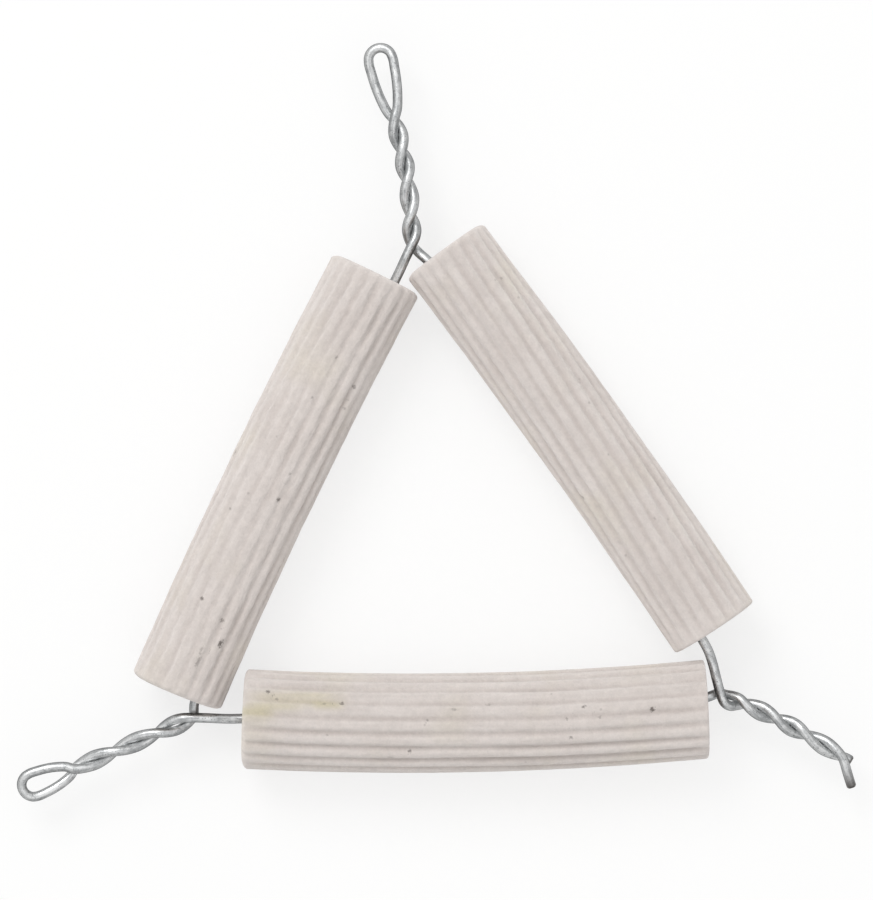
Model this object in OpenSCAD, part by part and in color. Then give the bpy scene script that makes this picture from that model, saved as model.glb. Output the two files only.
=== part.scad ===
// Pipe clay triangle: three ribbed clay sleeves threaded on one twisted wire.
// Millimetres, +Z up. The origin is the centre of the triangle, on the plane it lies on.

/* [Sleeves] */
// Length of a sleeve
sleeve_length = 50; // [40:1:70]
// Diameter of the left sleeve over its ribs
left_d = 10.4; // [9.5:0.1:12]
// Diameter of the right sleeve over its ribs
right_d = 10.2; // [9.5:0.1:12]
// Diameter of the bottom sleeve over its ribs
bottom_d = 10.8; // [9.5:0.1:12]
// Bore that the wire runs through
bore_d = 6.2; // [5.4:0.1:7]
// How far the middle of the left sleeve bows outwards
left_bow = 0.5; // [0.1:0.05:1]
// How far the middle of the right sleeve bows outwards
right_bow = 0.4; // [0.1:0.05:1]
// How far the middle of the bottom sleeve bows outwards
bottom_bow = 0.9; // [0.1:0.05:1]

/* [Ribs and ends] */
// Ribs around a sleeve
rib_count = 20; // [16:1:26]
// Depth of the grooves between the ribs
rib_depth = 0.25; // [0.1:0.05:0.4]
// How far the worn edge of an end reaches in from the outside
edge_across = 1.7; // [1:0.1:1.7]
// How far the worn edge of an end reaches along the sleeve
edge_along = 0.95; // [0.5:0.05:1.2]
// How far the mouth of the bore flares
mouth_flare = 0.3; // [0.1:0.05:0.3]

/* [Wire] */
// Diameter of the wire
wire_d = 1.1; // [0.8:0.1:1.3]
// Gap between the two strands of a twist
strand_gap = 0.06; // [0.04:0.01:0.2]
// Room that the wire keeps from the wall of a bore
bore_room = 0.12; // [0.1:0.01:0.2]
// How far the wire lies below the middle of the thinnest sleeve
wire_drop = 0.45; // [0:0.05:0.8]
// Length of the eye at the end of the top stem
top_eye = 7.9; // [6:0.1:10]
// Length of the eye at the end of the left stem
left_eye = 6; // [5:0.1:9]
// Width of both eyes, between the middles of the wire
eye_width = 2.6; // [2.2:0.1:4]

/* [Layout] */
// How much longer a side of the wire triangle is than a sleeve and its diameter
corner_play = 3.6; // [3.6:0.1:8]

/* [Hidden] */
clay = "#d8cfc9";
steel = "#9c9fa2";
$fn = 96;
LEFT = 0;
RIGHT = 1;
BOTTOM = 2;

// One value for each sleeve: left, right, bottom
sleeve_d = [left_d, right_d, bottom_d];
sleeve_bow = [left_bow, right_bow, bottom_bow];
side_dir = [154.4, 35.6, -88.8]; // which way each sleeve lies from the centre
side_push = [0.1, 0, -0.25]; // how far each sleeve lies off the common distance
slide = [1.9, 0.4, 3.2]; // where each sleeve has slid to along its side
rib_phase = [0, -3, 4]; // turn of the ribs from a groove on top

// The triangle of the sleeves' axes
sides_mean = sleeve_length + max(sleeve_d) + corner_play;
axis_distance = sides_mean / (2 * sqrt(3));

// Ribs: arcs that meet in the grooves
rib_pitch = 360 / rib_count;
envelope_margin = 0.03; // what the end of a sleeve may stand proud of its diameter
envelope_reach = 2; // how far from an end that holds
envelope_slope = 0.15; // how fast the limit opens after that
bore_overrun = 1;

// Wire
wire_r = wire_d / 2;
strand_r = (wire_d + strand_gap) / 2;
wire_sides = 10;
ring_spacing = 0.45;
most_rings = 4; // between two keys
keys_per_half_turn = 4;
bend_step = 1.6;
bend_reach = 0.36;

function unit(v) = v / norm(v);
function radius(i) = sleeve_d[i] / 2;
function out(i) = [cos(side_dir[i]), sin(side_dir[i])];
// Along a sleeve: the left and right ones run upwards, the bottom one to the right
function run_dir(i) = side_dir[i] + (i == LEFT ? -90 : 90);
function run(i) = [cos(run_dir(i)), sin(run_dir(i))];
function distance_out(i) = axis_distance + side_push[i];
function slid(i) = (i == LEFT ? -1 : 1) * slide[i];
function middle(i) = distance_out(i) * out(i) + slid(i) * run(i);

// Ribbed outline: each rib is part of a circle through its crest and two groove bottoms
function groove_r(i) = radius(i) - rib_depth;
function crest_drop(i) = radius(i) - groove_r(i) * cos(rib_pitch / 2);
function rib_r(i) =
    (pow(crest_drop(i), 2) + pow(groove_r(i) * sin(rib_pitch / 2), 2)) / (2 * crest_drop(i));
function rib_angle(i, k) = rib_phase[i] + (k + 0.5) * rib_pitch + 90;
// Height of a sleeve's axis when its lowest rib touches the ground
function axis_height(i) = max([for (k = [0:rib_count - 1])
    rib_r(i) - (radius(i) - rib_r(i)) * sin(rib_angle(i, k))]);
function arc_r(i) = pow(sleeve_length, 2) / (8 * sleeve_bow[i]) + sleeve_bow[i] / 2;

module ribbed_outline(i) {
    circle(r = radius(i) - rib_r(i));
    for (k = [0:rib_count - 1])
        rotate(rib_angle(i, k)) translate([radius(i) - rib_r(i), 0]) circle(r = rib_r(i));
}

// Sweeps an outline along the bowed axis; local X runs along the sleeve, +Y is outwards
module along_bow(i, overrun) {
    half = asin((sleeve_length / 2 + overrun) / arc_r(i));
    translate([0, sleeve_bow[i] - arc_r(i), 0])
        rotate_extrude(angle = 2 * half, start = 90 - half, $fn = 1440)
            translate([arc_r(i), 0]) children();
}

// Outline that a sleeve may fill while it turns: worn ends, then an opening cone
function worn_edge(i) = [for (a = [90:-15:0])
    [radius(i) + envelope_margin - edge_across * (1 - cos(a)),
     sleeve_length / 2 - edge_along * (1 - sin(a))]];
function half_outline(i) =
    let (
        r = radius(i) + envelope_margin,
        wide = r + sleeve_bow[i],
        open_at = sleeve_length / 2 - envelope_reach
    ) concat(
        [[0, sleeve_length / 2]],
        worn_edge(i),
        [[r, open_at], [wide, open_at - sleeve_bow[i] / envelope_slope]]);

module turning_envelope(i) {
    half = half_outline(i);
    rotate([0, 90, 0]) rotate_extrude()
        polygon(concat(half, [for (p = reversed(half)) [p.x, -p.y]]));
}

module bore(i) {
    along_bow(i, bore_overrun) circle(d = bore_d);
    for (side = [-1, 1])
        translate([side * sleeve_length / 2, 0, 0]) rotate([0, -90 * side, 0])
            translate([0, 0, -mouth_flare]) cylinder(
                h = 3 * mouth_flare, r1 = bore_d / 2 + 2 * mouth_flare, r2 = bore_d / 2 - mouth_flare);
}

module sleeve(i) {
    translate([middle(i).x, middle(i).y, axis_height(i)])
        rotate(side_dir[i] - 90)
            difference() {
                intersection() {
                    along_bow(i, bore_overrun) ribbed_outline(i);
                    turning_envelope(i);
                }
                bore(i);
            }
}

// Wire: how the middle of the wire runs
wire_z = min([for (i = [0:2]) axis_height(i)]) - wire_drop;
free_r = bore_d / 2 - wire_r - bore_room;
// Share of the room on the inner side of a bore that the wire takes, at each end
hug = [[1, 0.88], [0.76, 0.88], [0, 0.56]];
// How far the wire dips at each end of a bore, to pass under the other strand
dip = [[0.35, 0], [0, 0.1], [0, 0.25]];
bore_keys = [0, 0.03, 0.1, 0.25, 0.5, 0.75, 0.9, 0.97, 1];

function bore_z(i, t) = wire_z - mix(dip[i][0], dip[i][1], t);
function inner_room(i, t) = sqrt(pow(free_r, 2) - pow(axis_height(i) - bore_z(i, t), 2));
function bowed(i, t) = sleeve_bow[i] * 4 * t * (1 - t);
function mix(a, b, t) = a + (b - a) * t;
// Point of the wire inside a sleeve, from its first end at 0 to its second at 1
function in_bore(i, t) =
    let (
        aside = mix(hug[i][0], hug[i][1], t) * (inner_room(i, t) - bowed(i, t)),
        p = middle(i) + (t - 0.5) * sleeve_length * run(i) - aside * out(i)
    ) [p.x, p.y, bore_z(i, t)];

// Corner of the axis triangle between two sleeves
function corner(i, j) =
    let (a = out(i), b = out(j), r = distance_out(i), s = distance_out(j), d = a.x * b.y - a.y * b.x)
    [(r * b.y - s * a.y) / d, (s * a.x - r * b.x) / d];

// Stems: [corner, first crossing from the corner, heading, bend, half turns]
TOP = 0;
WEST = 1;
EAST = 2;
stems = [
    [corner(LEFT, RIGHT), [0.15, -4.5], 90, 16, [3.2, 3.8, 3.2, 3.4]],
    [corner(LEFT, BOTTOM), [3.2, 0.3], 203.5, 0, [4.1, 5, 4.7]],
    [corner(RIGHT, BOTTOM), [-5.5, 1.5], -21.5, -12, [2.9, 3.8, 3.6, 4.4]],
];
function total(v, n) = n <= 0 ? 0 : v[n - 1] + total(v, n - 1);
function half_turns(s) = len(stems[s][4]);
function stem_length(s) = total(stems[s][4], half_turns(s));
// Distance along a stem after k half turns
function stem_at(s, k) =
    let (n = min(floor(k), half_turns(s) - 1)) total(stems[s][4], n) + (k - n) * stems[s][4][n];
function heading(s, k) = stems[s][2] + stems[s][3] * stem_at(s, k) / stem_length(s);
function stem_axis(s, k) =
    let (
        d = stem_at(s, k),
        turn = (heading(s, k) - stems[s][2]) / 2,
        chord = abs(turn) < 0.01 ? d : d * sin(turn) / (turn * PI / 180)
    ) stems[s][0] + stems[s][1] + chord * [cos(stems[s][2] + turn), sin(stems[s][2] + turn)];
function left_of(a) = [-sin(a), cos(a)];
// How much wider the first lobe of a strand is than the rest of the twist: [strand 1, strand -1]
first_lobe = [[0, 0], [0.1, 0.8], [1.5, -0.5]];
function lobe(s, k, which) = 1 + first_lobe[s][which > 0 ? 0 : 1] * max(0, 1 - k);
// Strand 1 lies on top at the first crossing, strand -1 below it
function strand(s, k, which) =
    let (
        aside = which * strand_r * sin(180 * k) * lobe(s, k, which),
        p = stem_axis(s, k) - aside * left_of(heading(s, k))
    ) [p.x, p.y, wire_z + which * strand_r * cos(180 * k)];

last = [for (s = [TOP, WEST, EAST]) half_turns(s)];
function twist_out(s, which) =
    [for (j = [0:last[s] * keys_per_half_turn]) strand(s, j / keys_per_half_turn, which)];
function reversed(v) = [for (j = [len(v) - 1:-1:0]) v[j]];

// Eye: sides that spread from the last crossing to a round tip
eye_fullness = 0.7; // smaller spreads sooner
side_keys = [0.15, 0.35, 0.6, 0.82];
tip_keys = [90, 60, 30, 0, -30, -60, -90];
function eye_side(length, share) =
    [share * (length - eye_width / 2), eye_width / 2 * sin(90 * pow(share, eye_fullness))];
function eye_outline(length) = concat(
    [for (share = side_keys) eye_side(length, share)],
    [for (a = tip_keys) [length - eye_width / 2, 0] + eye_width / 2 * [cos(a), sin(a)]],
    [for (share = reversed(side_keys)) let (e = eye_side(length, share)) [e.x, -e.y]]);
function eye(s, length, turn, which) =
    let (
        end = last[s],
        tip = heading(s, end) + turn,
        side = which * cos(180 * end),
        outline = eye_outline(length)
    )
    [for (j = [0:len(outline) - 1])
        let (
            e = outline[j],
            p = stem_axis(s, end) + e.x * [cos(tip), sin(tip)] - side * e.y * left_of(tip)
        ) [p.x, p.y, wire_z + side * strand_r * cos(180 * (j + 1) / (len(outline) + 1))]];

// Corner bend: from a point and its direction to the next ones
function bend(p, p_dir, q, q_dir) =
    let (
        r = bend_reach * norm(q - p),
        a = p + r * unit(p_dir),
        b = q - r * unit(q_dir),
        parts = 1 + floor(norm(q - p) / bend_step)
    )
    [for (j = [1:1:parts - 1])
        let (t = j / parts)
        pow(1 - t, 3) * p + 3 * pow(1 - t, 2) * t * a + 3 * (1 - t) * t * t * b + pow(t, 3) * q];
function to_stem(i, t, s, which) =
    let (
        p = in_bore(i, t),
        p_dir = p - in_bore(i, mix(t, 0.5, 0.1)),
        q = strand(s, 0, which),
        q_dir = strand(s, 0.1, which) - q
    ) bend(p, p_dir, q, q_dir);
function through(i) = [for (t = bore_keys) in_bore(i, t)];

// Cut ends past the last crossing of the east stem
function cut_end(which, path) =
    let (end = strand(EAST, last[EAST], which), h = heading(EAST, last[EAST]))
    [for (p = path) end + [p.x * cos(h) - p.y * sin(h), p.x * sin(h) + p.y * cos(h), p.z]];
short_end = [[0.5, 0.15, 0], [1.2, 0.2, 0.1]];
long_end = [[0.6, -0.4, -0.1], [1.25, -0.95, -0.3], [2.05, -1.6, -0.5], [2.75, -2.15, -0.6]];

route = concat(
    reversed(cut_end(-1, short_end)),
    reversed(twist_out(EAST, -1)),
    reversed(to_stem(BOTTOM, 1, EAST, -1)),
    reversed(through(BOTTOM)),
    to_stem(BOTTOM, 0, WEST, 1),
    twist_out(WEST, 1),
    eye(WEST, left_eye, -2, 1),
    reversed(twist_out(WEST, -1)),
    reversed(to_stem(LEFT, 0, WEST, -1)),
    through(LEFT),
    to_stem(LEFT, 1, TOP, 1),
    twist_out(TOP, 1),
    eye(TOP, top_eye, -3, 1),
    reversed(twist_out(TOP, -1)),
    reversed(to_stem(RIGHT, 1, TOP, -1)),
    reversed(through(RIGHT)),
    to_stem(RIGHT, 0, EAST, 1),
    twist_out(EAST, 1),
    cut_end(1, long_end)
);

// Smooth curve through the keys of the route
function knot(v, j) = v[max(0, min(len(v) - 1, j))];
function slope(v, j) =
    let (a = v[j] - knot(v, j - 1), b = knot(v, j + 1) - v[j], m = norm(a), n = norm(b))
    m == 0 ? b / n : n == 0 ? a / m : (a * n / m + b * m / n) / (m + n);
function smooth(v) = concat(
    [for (j = [0:len(v) - 2])
        let (
            b = v[j],
            c = v[j + 1],
            reach = norm(c - b),
            rings = min(most_rings, ceil(reach / ring_spacing)),
            b_pull = reach * slope(v, j),
            c_pull = reach * slope(v, j + 1)
        )
        for (n = [0:rings - 1])
            let (t = n / rings, u = 1 - t)
            u * u * ((1 + 2 * t) * b + t * b_pull) + t * t * ((3 - 2 * t) * c - u * c_pull)],
    [v[len(v) - 1]]);

module sweep(path, r, sides) {
    n = len(path);
    tangents = [for (j = [0:n - 1]) unit(knot(path, j + 1) - knot(path, j - 1))];
    ups = [for (j = 0, u = [0, 0, 1]; j < n; j = j + 1, u = unit(u - (u * tangents[j % n]) * tangents[j % n]))
        unit(u - (u * tangents[j]) * tangents[j])];
    points = [for (j = [0:n - 1], k = [0:sides - 1])
        path[j] + r * (cos(360 * k / sides) * ups[j] + sin(360 * k / sides) * cross(tangents[j], ups[j]))];
    walls = [for (j = [0:n - 2], k = [0:sides - 1])
        let (a = j * sides + k, b = j * sides + (k + 1) % sides) [a, b, b + sides, a + sides]];
    caps = [[for (k = [sides - 1:-1:0]) k], [for (k = [0:sides - 1]) (n - 1) * sides + k]];
    polyhedron(points, concat(walls, caps), convexity = 10);
}

module wire_frame() {
    color(steel) sweep(smooth(route), wire_r, wire_sides);
}

module left_sleeve() {
    color(clay) sleeve(LEFT);
}

module right_sleeve() {
    color(clay) sleeve(RIGHT);
}

module bottom_sleeve() {
    color(clay) sleeve(BOTTOM);
}

wire_frame();
left_sleeve();
right_sleeve();
bottom_sleeve();
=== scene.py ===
import math
import bpy
import numpy as np
from mathutils import Matrix, Vector


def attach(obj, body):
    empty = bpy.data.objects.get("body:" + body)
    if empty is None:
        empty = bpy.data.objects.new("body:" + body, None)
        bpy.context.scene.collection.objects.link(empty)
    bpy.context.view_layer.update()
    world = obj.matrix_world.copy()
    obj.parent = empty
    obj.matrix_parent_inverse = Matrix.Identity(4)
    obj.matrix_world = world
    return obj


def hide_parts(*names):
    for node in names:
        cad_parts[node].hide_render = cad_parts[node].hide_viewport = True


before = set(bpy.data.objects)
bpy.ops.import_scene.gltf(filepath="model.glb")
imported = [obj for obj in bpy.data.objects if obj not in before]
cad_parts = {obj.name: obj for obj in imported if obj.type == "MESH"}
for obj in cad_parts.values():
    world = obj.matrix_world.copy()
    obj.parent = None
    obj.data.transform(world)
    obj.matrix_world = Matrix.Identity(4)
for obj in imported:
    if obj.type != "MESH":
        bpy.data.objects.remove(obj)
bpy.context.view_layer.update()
mm = 0.001


def linearColour(code):
    # sRGB hex to the linear values that the shaders want
    parts = [int(code[i:i + 2], 16) / 255 for i in (1, 3, 5)]
    return [c / 12.92 if c <= 0.04045 else ((c + 0.055) / 1.055) ** 2.4 for c in parts] + [1.0]


def addNode(tree, kind, inputs=(), **settings):
    # a list of inputs starts at the first socket, a dictionary names the sockets
    node = tree.nodes.new(kind)
    for name, value in settings.items():
        setattr(node, name, value)
    for key, value in inputs.items() if isinstance(inputs, dict) else enumerate(inputs):
        if isinstance(value, bpy.types.Node):
            value = value.outputs[0]
        if isinstance(value, bpy.types.NodeSocket):
            tree.links.new(value, node.inputs[key])
        else:
            node.inputs[key].default_value = value
    return node


def newTree(name, sockets):
    tree = bpy.data.node_groups.new(name, "GeometryNodeTree")
    tree.interface.new_socket("Geometry", in_out="INPUT", socket_type="NodeSocketGeometry")
    for label, kind in sockets:
        tree.interface.new_socket(label, in_out="INPUT", socket_type="NodeSocket" + kind)
    tree.interface.new_socket("Geometry", in_out="OUTPUT", socket_type="NodeSocketGeometry")
    return tree, tree.nodes.new("NodeGroupInput").outputs


def runTree(name, mesh, tree, values):
    # puts the tree on a helper object, reads the result as a plain mesh, and drops the helper
    helper = bpy.data.objects.new(name + "Helper", mesh)
    bpy.context.scene.collection.objects.link(helper)
    modifier = helper.modifiers.new("nodes", "NODES")
    modifier.node_group = tree
    for item in tree.interface.items_tree:
        if item.in_out == "INPUT" and item.name in values:
            modifier[item.identifier] = values[item.name]
    graph = bpy.context.evaluated_depsgraph_get()
    result = bpy.data.meshes.new_from_object(helper.evaluated_get(graph), depsgraph=graph)
    bpy.data.objects.remove(helper)
    result.name = name
    piece = bpy.data.objects.new(name, result)
    bpy.context.scene.collection.objects.link(piece)
    return piece


def facesOut(mesh):
    # a signed volume below zero means that the shell is inside out
    points = np.empty(len(mesh.vertices) * 3)
    mesh.vertices.foreach_get("co", points)
    points = points.reshape(-1, 3)
    mesh.calc_loop_triangles()
    corners = np.empty(len(mesh.loop_triangles) * 3, dtype=np.int32)
    mesh.loop_triangles.foreach_get("vertices", corners)
    a, b, c = (points[corners.reshape(-1, 3)[:, k]] for k in range(3))
    if np.einsum("ij,ij->i", a, np.cross(b, c)).sum() < 0:
        mesh.flip_normals()


# Unglazed pipe clay, extruded and fired: chalky, with no gloss, pinkish off-white, painted shade a
# little darker in the grooves, fine grit and a few burnt-out pits
clayLook = {
    "ridge": "#E1DBD6", "groove": "#C8BFBA", "pale": "#E7E0DD", "rose": "#DCD3CF", "warm": "#E0D9CD",
    "pit": "#665D57", "stain": "#D3CBA6", "roughness": 0.9, "ridgeShare": 0.55,
    # each range says where in its noise a mark starts and where it is full, and most how strong it gets
    "mottleMm": 5.0, "mottleRange": (0.32, 0.68),
    "warmMm": 8.0, "warmRange": (0.52, 0.72), "warmMost": 0.5,
    "streakMm": 0.9, "streakSquash": 0.12, "streakRange": (0.45, 0.75), "streakMost": 0.3,
    "grooveShadeMm": (0.15, 0.62),  # depths at which a groove starts to darken and is darkest
    "runsPerMm": 0.7, "runSquash": 0.06, "runRange": (0.4, 0.6), "runLeast": 0.35,
    "gritMm": 0.22, "crumbMm": 0.7, "crumbShare": 1.4,
    "gritRange": (0.8, 1.6), "gritShade": (0.92, 1.05),
    "speckMm": 4.0, "speckRange": (0.02, 0.05), "speckMost": 0.24,
    "rimsPerMm": 5.0, "rimRange": (0.3, 0.7), "rimShift": 0.5, "pitRange": (0.3, 1.0),
    "bumpCrumb": 2.2, "bumpStrength": 0.6, "bumpMm": 0.07,
}


def makeClay():
    look = clayLook
    material = bpy.data.materials.new("unglazedPipeClay")
    material.use_nodes = True
    tree = material.node_tree
    shader = tree.nodes["Principled BSDF"]
    place = addNode(tree, "ShaderNodeAttribute", attribute_name="clayPlace").outputs["Vector"]
    groove = addNode(tree, "ShaderNodeAttribute", attribute_name="groove").outputs["Fac"]
    pitPlace = addNode(tree, "ShaderNodeAttribute", attribute_name="pitPlace").outputs["Vector"]
    pitTone = addNode(tree, "ShaderNodeAttribute", attribute_name="pitTone").outputs["Fac"]
    stain = addNode(tree, "ShaderNodeAttribute", attribute_name="stain").outputs["Fac"]

    mottle = addNode(tree, "ShaderNodeTexNoise", {"Vector": place, "Scale": 1 / look["mottleMm"],
                                                  "Detail": 4.0, "Roughness": 0.6})
    body = addNode(tree, "ShaderNodeValToRGB", {"Fac": mottle})
    for stop, position, colour in zip(body.color_ramp.elements, look["mottleRange"], ("rose", "pale")):
        stop.position = position
        stop.color = linearColour(look[colour])
    # faint warm patches from the kiln
    warm = addNode(tree, "ShaderNodeTexNoise", {"Vector": place, "Scale": 1 / look["warmMm"],
                                                "Detail": 3.0})
    warmShare = addNode(tree, "ShaderNodeMapRange", [warm, *look["warmRange"], 0.0, look["warmMost"]])
    # streaks that the die left along the sleeve
    drawn = addNode(tree, "ShaderNodeMapping", {"Vector": place, "Scale": (look["streakSquash"], 1, 1)})
    streak = addNode(tree, "ShaderNodeTexNoise", {"Vector": drawn, "Scale": 1 / look["streakMm"],
                                                  "Detail": 3.0, "Roughness": 0.55})
    streakShare = addNode(tree, "ShaderNodeMapRange", [streak, *look["streakRange"], 0.0,
                                                       look["streakMost"]])
    # painted shade: the deeper grooves are darker
    grooveShadeShare = addNode(tree, "ShaderNodeMapRange", [groove, *look["grooveShadeMm"]])
    # the stain has run along the ribs, so it is stronger in some streaks
    run = addNode(tree, "ShaderNodeMapping", {"Vector": place, "Scale": (look["runSquash"], 1, 1)})
    runNoise = addNode(tree, "ShaderNodeTexNoise", {"Vector": run, "Scale": look["runsPerMm"],
                                                    "Detail": 1.0})
    runShare = addNode(tree, "ShaderNodeMapRange", [runNoise, *look["runRange"], look["runLeast"]])
    stainShare = addNode(tree, "ShaderNodeMath", [runShare, stain], operation="MULTIPLY")
    # each colour lies over those before it, as strongly as its share says
    surface = body
    # the groove colour is the die streaks' own colour, and painted shade in the grooves
    for share, colour in ((look["ridgeShare"], "ridge"), (warmShare, "warm"), (streakShare, "groove"),
                          (grooveShadeShare, "groove"), (stainShare, "stain")):
        surface = addNode(tree, "ShaderNodeMixRGB", {"Fac": share, "Color1": surface,
                                                     "Color2": linearColour(look[colour])})

    # grit: too fine to show as it is, so drawn at about a fifth of a millimetre
    grit = addNode(tree, "ShaderNodeTexNoise", {"Vector": place, "Scale": 1 / look["gritMm"],
                                                "Detail": 2.0, "Roughness": 0.7})
    crumb = addNode(tree, "ShaderNodeTexNoise", {"Vector": place, "Scale": 1 / look["crumbMm"],
                                                 "Detail": 4.0, "Roughness": 0.6})
    coarse = addNode(tree, "ShaderNodeMath", [crumb, look["crumbShare"], grit],
                     operation="MULTIPLY_ADD")
    gritShade = addNode(tree, "ShaderNodeMapRange", [coarse, *look["gritRange"], *look["gritShade"]])
    surface = addNode(tree, "ShaderNodeVectorMath", {0: surface, 3: gritShade}, operation="SCALE")
    # specks of iron in the clay
    speck = addNode(tree, "ShaderNodeTexVoronoi", {"Vector": place, "Scale": 1 / look["speckMm"]})
    speckShare = addNode(tree, "ShaderNodeMapRange", [speck.outputs["Distance"], *look["speckRange"],
                                                      look["speckMost"], 0.0])
    # burnt-out pits: pitPlace is one long at a pit's rim, and a ragged noise breaks that rim
    rim = addNode(tree, "ShaderNodeTexNoise", {"Vector": place, "Scale": look["rimsPerMm"]})
    rimShift = addNode(tree, "ShaderNodeMapRange", [rim, *look["rimRange"], -look["rimShift"],
                                                    look["rimShift"]])
    pitDistance = addNode(tree, "ShaderNodeVectorMath", [pitPlace], operation="LENGTH")
    ragged = addNode(tree, "ShaderNodeMath", [pitDistance.outputs["Value"], rimShift], operation="ADD")
    pitDark = addNode(tree, "ShaderNodeMapRange", [ragged, *look["pitRange"], 1.0, 0.0])
    pitShare = addNode(tree, "ShaderNodeMath", [pitDark, pitTone], operation="MULTIPLY")
    for share in (speckShare, pitShare):
        surface = addNode(tree, "ShaderNodeMixRGB", {"Fac": share, "Color1": surface,
                                                     "Color2": linearColour(look["pit"])})
    tree.links.new(surface.outputs[0], shader.inputs["Base Color"])
    shader.inputs["Roughness"].default_value = look["roughness"]
    shader.inputs["Diffuse Roughness"].default_value = 1.0
    height = addNode(tree, "ShaderNodeMath", [crumb, look["bumpCrumb"], grit], operation="MULTIPLY_ADD")
    bump = addNode(tree, "ShaderNodeBump", {"Strength": look["bumpStrength"],
                                            "Distance": look["bumpMm"] * mm, "Height": height})
    tree.links.new(bump.outputs[0], shader.inputs["Normal"])
    return material


# Galvanised steel wire: zinc over drawn steel, so soft grey highlights broken by die lines and dull
# blooms, painted shade on the flanks, and dark bare steel where the nippers cut it
wireLook = {
    "zinc": "#E9EAEA", "dull": "#B3B5B6", "tarnishAndShade": "#696B6C", "steel": "#64605D",
    "drawMm": 0.24, "drawLengthMm": 2.6, "bloomMm": 0.9, "heatMm": 14.0, "heatShare": -0.7,
    "coatRange": (0.48, 0.82), "speckMm": 0.16, "speckRange": (0.62, 0.72), "speckMost": 0.7,
    "roughness": 0.34, "roughRange": (0.4, 0.9), "roughSpread": (0.12, -0.06),
    "bumpStrength": 0.5, "bumpMm": 0.05,
}


def makeZinc():
    look = wireLook
    material = bpy.data.materials.new("galvanisedSteel")
    material.use_nodes = True
    tree = material.node_tree
    shader = tree.nodes["Principled BSDF"]
    place = addNode(tree, "ShaderNodeTexCoord").outputs["Object"]
    flankShade = addNode(tree, "ShaderNodeAttribute", attribute_name="paintedFlankShade").outputs["Fac"]
    along = addNode(tree, "ShaderNodeAttribute", attribute_name="along").outputs["Fac"]
    skinPlace = addNode(tree, "ShaderNodeAttribute", attribute_name="skinPlace").outputs["Vector"]
    cut = addNode(tree, "ShaderNodeAttribute", attribute_name="cutEnd").outputs["Fac"]

    # fine lines from the drawing die, along the wire
    stretched = addNode(tree, "ShaderNodeMath", [along, look["drawMm"] / look["drawLengthMm"]],
                        operation="MULTIPLY")
    lengthways = addNode(tree, "ShaderNodeCombineXYZ", {2: stretched})
    dieWay = addNode(tree, "ShaderNodeVectorMath", [skinPlace, lengthways], operation="ADD")
    drawn = addNode(tree, "ShaderNodeTexNoise", {"Vector": dieWay, "Scale": 1 / (look["drawMm"] * mm),
                                                 "Detail": 3.0, "Roughness": 0.6})
    bloom = addNode(tree, "ShaderNodeTexNoise", {"Vector": place, "Scale": 1 / (look["bloomMm"] * mm),
                                                 "Detail": 5.0, "Roughness": 0.7})
    # stretches of the wire that the heat has left duller
    heatPlace = addNode(tree, "ShaderNodeCombineXYZ", [along])
    heat = addNode(tree, "ShaderNodeTexNoise", {"Vector": heatPlace, "Scale": 1 / (look["heatMm"] * mm),
                                                "Detail": 1.0})
    blotch = addNode(tree, "ShaderNodeMath", [drawn, bloom], operation="ADD")
    dulled = addNode(tree, "ShaderNodeMath", [heat, look["heatShare"], blotch],
                     operation="MULTIPLY_ADD")
    coat = addNode(tree, "ShaderNodeMapRange", [dulled, *look["coatRange"]])
    # pinholes in the zinc, drawn at about a sixth of a millimetre
    speck = addNode(tree, "ShaderNodeTexNoise", {"Vector": place, "Scale": 1 / (look["speckMm"] * mm),
                                                 "Detail": 1.0})
    speckShare = addNode(tree, "ShaderNodeMapRange", [speck, *look["speckRange"], 0.0,
                                                      look["speckMost"]])
    surface = linearColour(look["dull"])
    # the dark grey is the pinholes' own colour, and on the flanks it is painted shade
    for share, colour in ((coat, "zinc"), (speckShare, "tarnishAndShade"), (flankShade, "tarnishAndShade"), (cut, "steel")):
        surface = addNode(tree, "ShaderNodeMixRGB", {"Fac": share, "Color1": surface,
                                                     "Color2": linearColour(look[colour])})
    tree.links.new(surface.outputs[0], shader.inputs["Base Color"])
    shader.inputs["Metallic"].default_value = 1.0
    # the dull patches scatter the light more
    atDull, atBright = (look["roughness"] + change for change in look["roughSpread"])
    rough = addNode(tree, "ShaderNodeMapRange", [dulled, *look["roughRange"], atDull, atBright])
    tree.links.new(rough.outputs[0], shader.inputs["Roughness"])
    bump = addNode(tree, "ShaderNodeBump", {"Strength": look["bumpStrength"],
                                            "Distance": look["bumpMm"] * mm, "Height": drawn})
    tree.links.new(bump.outputs[0], shader.inputs["Normal"])
    return material


clay = makeClay()
zinc = makeZinc()
print("materials made")

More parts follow.
